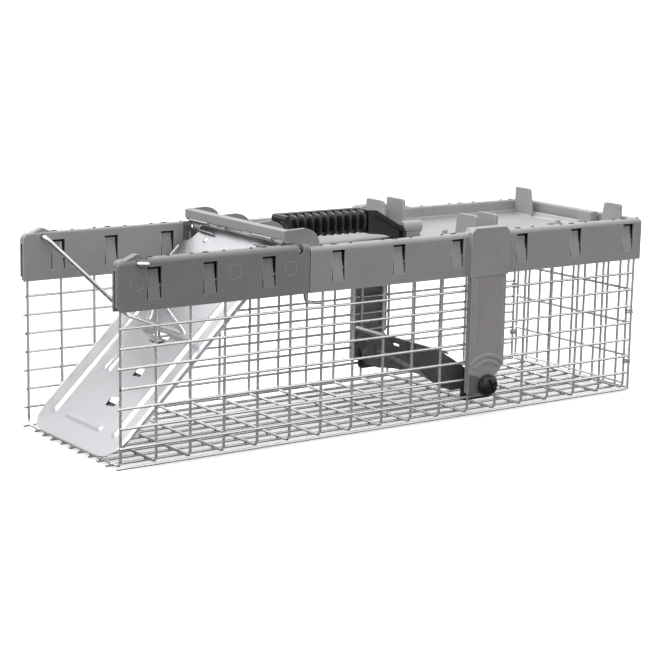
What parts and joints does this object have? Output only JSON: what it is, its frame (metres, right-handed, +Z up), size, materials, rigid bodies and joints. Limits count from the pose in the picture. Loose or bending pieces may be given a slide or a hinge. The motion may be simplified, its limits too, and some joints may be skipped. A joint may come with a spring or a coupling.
{
  "type": "live catch trap",
  "caption": "Long wire mesh cage trap with moulded plastic rails and cover, ribbed carry grip, sloping sheet door with set lever and lock bail, and a trip pan with rod.",
  "frame": {"origin": "centre of the cage floor's underside, midway between the side meshes", "axes": "+X along the cage from the door end to the closed end, +Y across towards the side with no trip rod, +Z up"},
  "size_m": [0.4447, 0.156, 0.1439],
  "materials": {
    "mesh_wire": "galvanised welded wire",
    "clip_steel": "zinc plated strip",
    "bright_wire": "zinc plated wire",
    "spring_wire": "spring steel",
    "door_sheet": "galvanised sheet",
    "rail_plastic": "mid grey moulding, fine grain",
    "guard_plastic": "warm grey moulding",
    "grip_plastic": "black, ribbed",
    "knob_plastic": "black",
    "pan_coat": "dark coated sheet"
  },
  "bodies": {
    "base": {"near_side_mesh": "mesh_wire", "far_side_mesh": "mesh_wire", "floor_mesh": "mesh_wire", "rear_mesh": "mesh_wire", "corner_clip_near_low": "clip_steel", "corner_clip_near_high": "clip_steel", "corner_clip_far_low": "clip_steel", "corner_clip_far_high": "clip_steel", "front_rail_near": "rail_plastic", "front_rail_far": "rail_plastic", "top_cover": "rail_plastic", "handle_grip": "grip_plastic", "hinge_rod": "bright_wire", "side_guard_near": "guard_plastic", "side_guard_far": "guard_plastic", "guard_bracket_near": "pan_coat", "guard_bracket_far": "pan_coat"},
    "door": {"set_lever": "rail_plastic", "door_panel": "door_sheet", "door_rivet_near": "bright_wire", "door_rivet_far": "bright_wire", "door_spring_near": "spring_wire", "door_spring_far": "spring_wire"},
    "bail": {"lock_bail": "bright_wire"},
    "pan": {"trip_pan": "pan_coat", "pan_axle": "bright_wire", "axle_knob_near": "knob_plastic", "axle_knob_far": "knob_plastic", "trip_arm": "clip_steel"},
    "rod": {"trip_rod": "bright_wire"}
  },
  "joints": [
    {"name": "door_swing", "type": "hinge", "parent": "base", "child": "door", "pos_m": [-0.0855, 0, 0.1296], "axis": [0, 1, 0], "range_deg": [0, 38], "stiffness_Nm_per_rad": 0.15, "springref_deg": -28.65},
    {"name": "bail_lift", "type": "hinge", "parent": "base", "child": "bail", "pos_m": [-0.2066, 0, 0.131], "axis": [0, -1, 0], "range_deg": [0, 124]},
    {"name": "pan_tilt", "type": "hinge", "parent": "base", "child": "pan", "pos_m": [0.0723, 0, 0.0233], "axis": [0, -1, 0], "range_deg": [0, 6]},
    {"name": "trip_rod_slide", "type": "slide", "parent": "base", "child": "rod", "axis": [-1, 0, 0], "range_m": [0, 0.0095]}
  ],
  "couplings": [
    {"joint": "bail_lift", "follows": "door_swing", "ratio": 3.26},
    {"joint": "trip_rod_slide", "follows": "pan_tilt", "m_per_rad": 0.0887}
  ]
}
